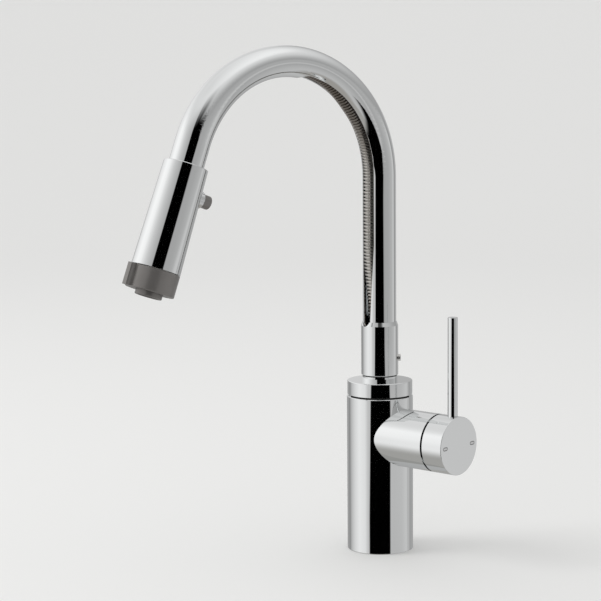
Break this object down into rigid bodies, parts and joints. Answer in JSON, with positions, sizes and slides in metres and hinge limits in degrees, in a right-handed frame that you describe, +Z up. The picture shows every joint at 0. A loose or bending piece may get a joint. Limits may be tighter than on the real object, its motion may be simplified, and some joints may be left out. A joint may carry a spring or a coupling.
{
  "type": "kitchen faucet",
  "caption": "Side-lever kitchen faucet with a high slotted gooseneck spout, a ribbed hose showing in the slot and a pull-down spray head.",
  "frame": {"origin": "centre of the body's foot on the deck, midway between the stud holes", "axes": "+Z up along the body and the spout's swivel, -Y the way the spout points at rest, +X the handle's side"},
  "size_m": [0.1034, 0.2577, 0.3803],
  "materials": {
    "chrome": "polished chrome plate on brass",
    "brass": "turned brass",
    "steel": "plain stainless steel",
    "hose_steel": "ribbed steel hose, satin",
    "grey_plastic": "dark warm grey moulded plastic, satin",
    "inner_plastic": "white engineering plastic",
    "rubber": "black rubber",
    "ceramic": "lapped alumina",
    "mark": "dark inlay"
  },
  "bodies": {
    "base": {"body_shell": "chrome", "valve_housing": "chrome", "base_insert": "brass", "base_seal": "rubber", "hot_pipe": "brass", "mixed_pipe": "brass", "cold_pipe": "brass", "valve_seat": "brass", "cartridge_case": "inner_plastic", "cartridge_seals": "rubber", "fixed_disc": "ceramic", "cartridge_nut": "brass", "bonnet": "chrome", "swivel_post": "brass", "swivel_seal": "rubber", "thrust_washer": "inner_plastic", "retaining_ring": "steel"},
    "temperature_drum": {"cartridge_carrier": "inner_plastic", "stem_pin": "steel"},
    "handle": {"stem": "steel", "handle_hub": "chrome", "lever_rod": "chrome", "hub_screw": "steel", "hot_mark": "mark", "cold_mark": "mark"},
    "flow_disc": {"moving_disc": "ceramic"},
    "spout": {"swivel_bushes": "inner_plastic", "swivel_cap": "chrome", "collar_ring": "chrome", "sleeve_seal": "rubber", "spout_sleeve": "chrome", "set_screw": "steel", "spout_tube": "chrome", "dock_bush": "inner_plastic", "ribbed_hose": "hose_steel"},
    "hose_end": {"hose_nipple": "brass", "nipple_seal": "rubber"},
    "spray_head": {"screen_washer": "steel", "check_valve": "inner_plastic", "head_core": "inner_plastic", "head_shell": "chrome", "button_boss": "chrome", "outlet": "grey_plastic", "outlet_screen": "inner_plastic"},
    "push_button": {"button": "grey_plastic", "button_seal": "rubber"},
    "mode_ring": {"spray_ring": "grey_plastic"}
  },
  "joints": [
    {"name": "spout_swivel", "type": "hinge", "parent": "base", "child": "spout", "pos_m": [0, 0, 0.1], "axis": [0, 0, 1], "range_deg": [-57, 83]},
    {"name": "head_pull", "type": "slide", "parent": "spout", "child": "hose_end", "axis": [0, -0.3387, -0.9409], "range_m": [0, 0.18], "stiffness_N_per_m": 20, "springref_m": -0.4},
    {"name": "head_turn", "type": "hinge", "parent": "hose_end", "child": "spray_head", "pos_m": [0, -0.16255, 0.31237], "axis": [0, -0.3387, -0.9409], "continuous": true},
    {"name": "spray_turn", "type": "hinge", "parent": "spray_head", "child": "mode_ring", "pos_m": [0, -0.16255, 0.31237], "axis": [0, -0.3387, -0.9409], "range_deg": [0, 45]},
    {"name": "button_press", "type": "slide", "parent": "spray_head", "child": "push_button", "axis": [0, -0.9409, 0.3387], "range_m": [0, 0.0025], "stiffness_N_per_m": 800, "springref_m": -0.002},
    {"name": "handle_turn", "type": "hinge", "parent": "base", "child": "temperature_drum", "pos_m": [0, 0, 0.0879], "axis": [0.9748, 0.2233, 0], "range_deg": [-45, 45]},
    {"name": "handle_lift", "type": "hinge", "parent": "temperature_drum", "child": "handle", "pos_m": [0.03622, 0.0083, 0.0879], "axis": [-0.2233, 0.9748, 0], "range_deg": [0, 18]},
    {"name": "disc_slide", "type": "slide", "parent": "temperature_drum", "child": "flow_disc", "axis": [0, 0, 1], "range_m": [0, 0.0019]}
  ],
  "couplings": [
    {"joint": "disc_slide", "follows": "handle_lift", "m_per_rad": 0.006}
  ]
}
